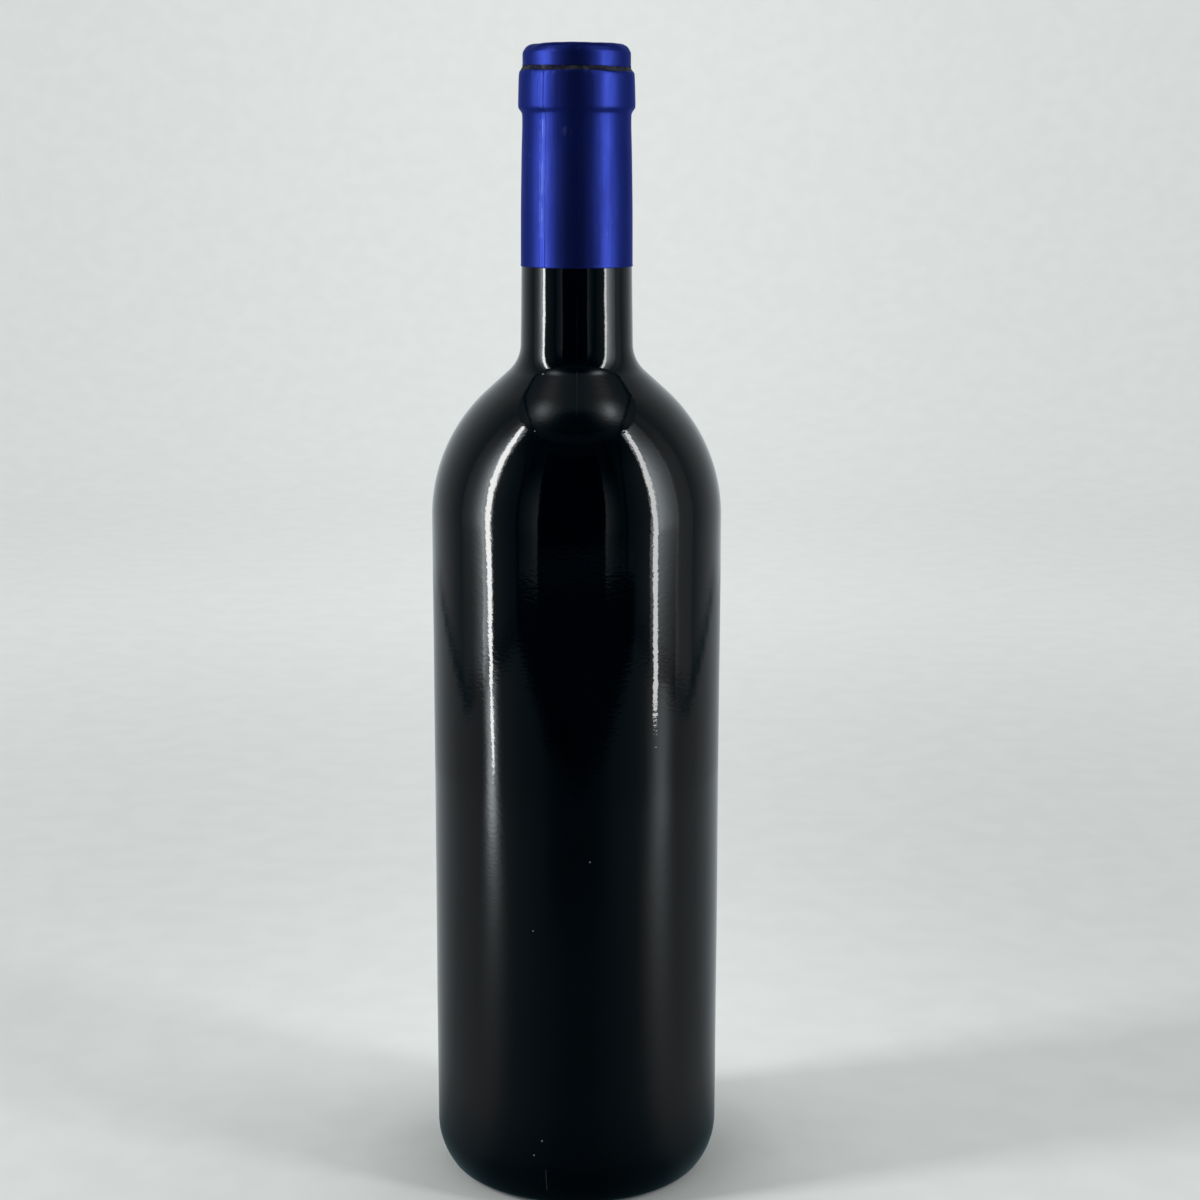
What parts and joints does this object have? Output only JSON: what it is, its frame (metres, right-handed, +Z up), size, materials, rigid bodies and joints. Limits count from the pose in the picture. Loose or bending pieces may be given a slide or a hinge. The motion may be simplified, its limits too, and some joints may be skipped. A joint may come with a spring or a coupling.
{
  "type": "wine bottle",
  "caption": "Filled, corked wine bottle of near-black glass with straight sides, high shoulders and a satin blue foil capsule over its mouth.",
  "frame": {"origin": "centre of the base, on the plane that the bottle stands on", "axes": "+Z up along the bottle's axis; -Y is the front, which faces the camera; +X is the front view's right"},
  "size_m": [0.076, 0.076, 0.3],
  "materials": {
    "dark_glass": "glossy, near-black green glass with the wine behind it",
    "blue_foil": "satin blue lacquered foil",
    "crimp_edge": "dark wrinkled crimp"
  },
  "bodies": {
    "root": {"bottle_glass": "dark_glass", "capsule_skirt": "blue_foil", "crimp_band": "crimp_edge", "capsule_top": "blue_foil"}
  },
  "joints": []
}
